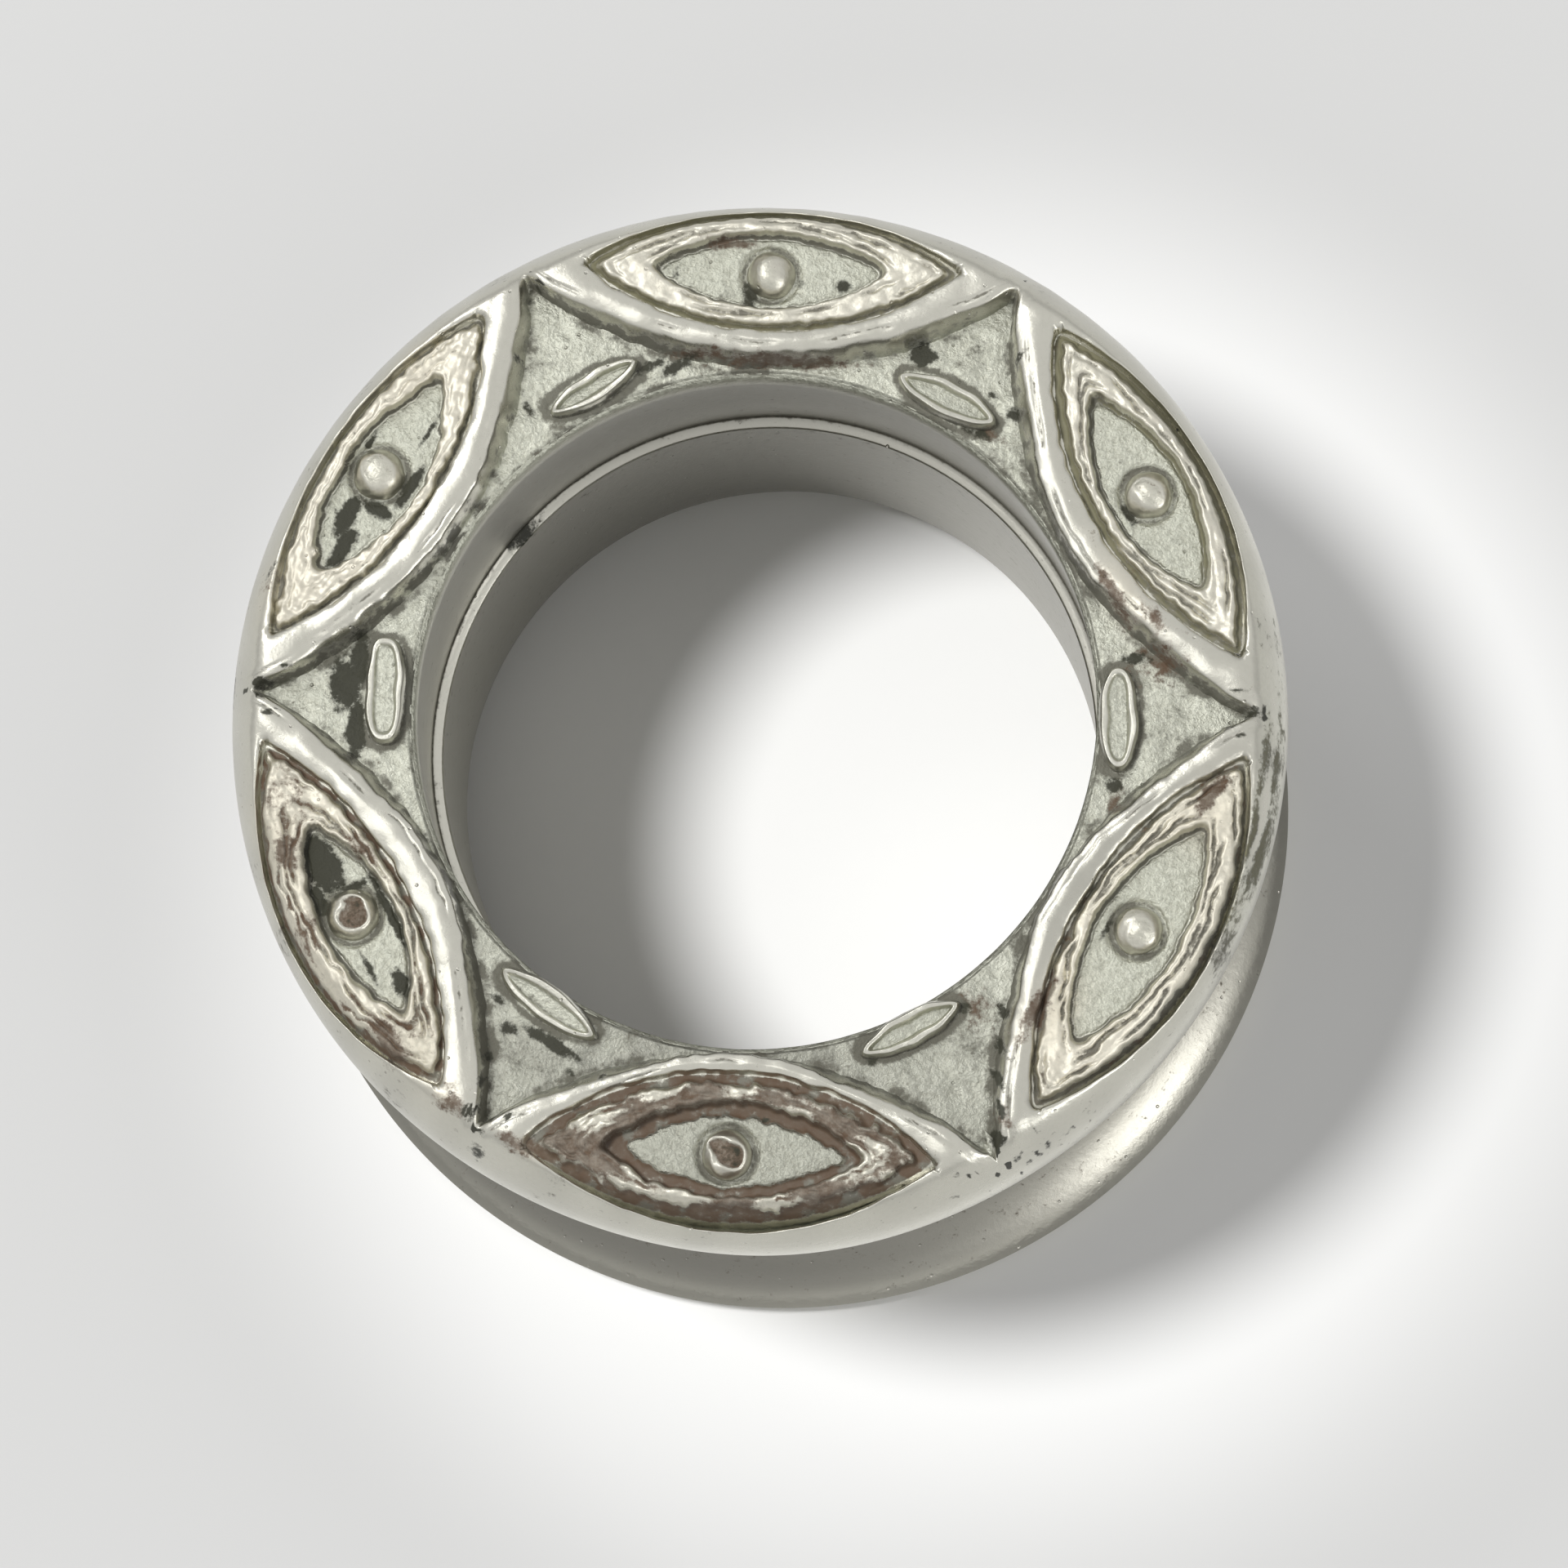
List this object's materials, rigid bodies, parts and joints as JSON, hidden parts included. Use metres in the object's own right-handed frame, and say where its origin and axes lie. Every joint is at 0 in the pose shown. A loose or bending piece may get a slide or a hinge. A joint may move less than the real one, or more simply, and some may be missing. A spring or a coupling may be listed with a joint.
{
  "type": "flesh tunnel",
  "caption": "Cast metal double-flared flesh tunnel: a hollow spool for a stretched ear lobe, with a raised eye-and-bead relief on the front flange and a plain back flare.",
  "frame": {"origin": "centre of the back flare's resting ring, on the axis of the hole", "axes": "+Z along the hole towards the decorated front flange, +Y through the bead of one eye"},
  "size_m": [0.0164, 0.0164, 0.0094],
  "materials": {
    "silver_plate": "cast brass under a thin silver plate, polished on the high parts, grainy and darkened in the recesses"
  },
  "bodies": {
    "root": {"tunnel": "silver_plate"}
  },
  "joints": []
}
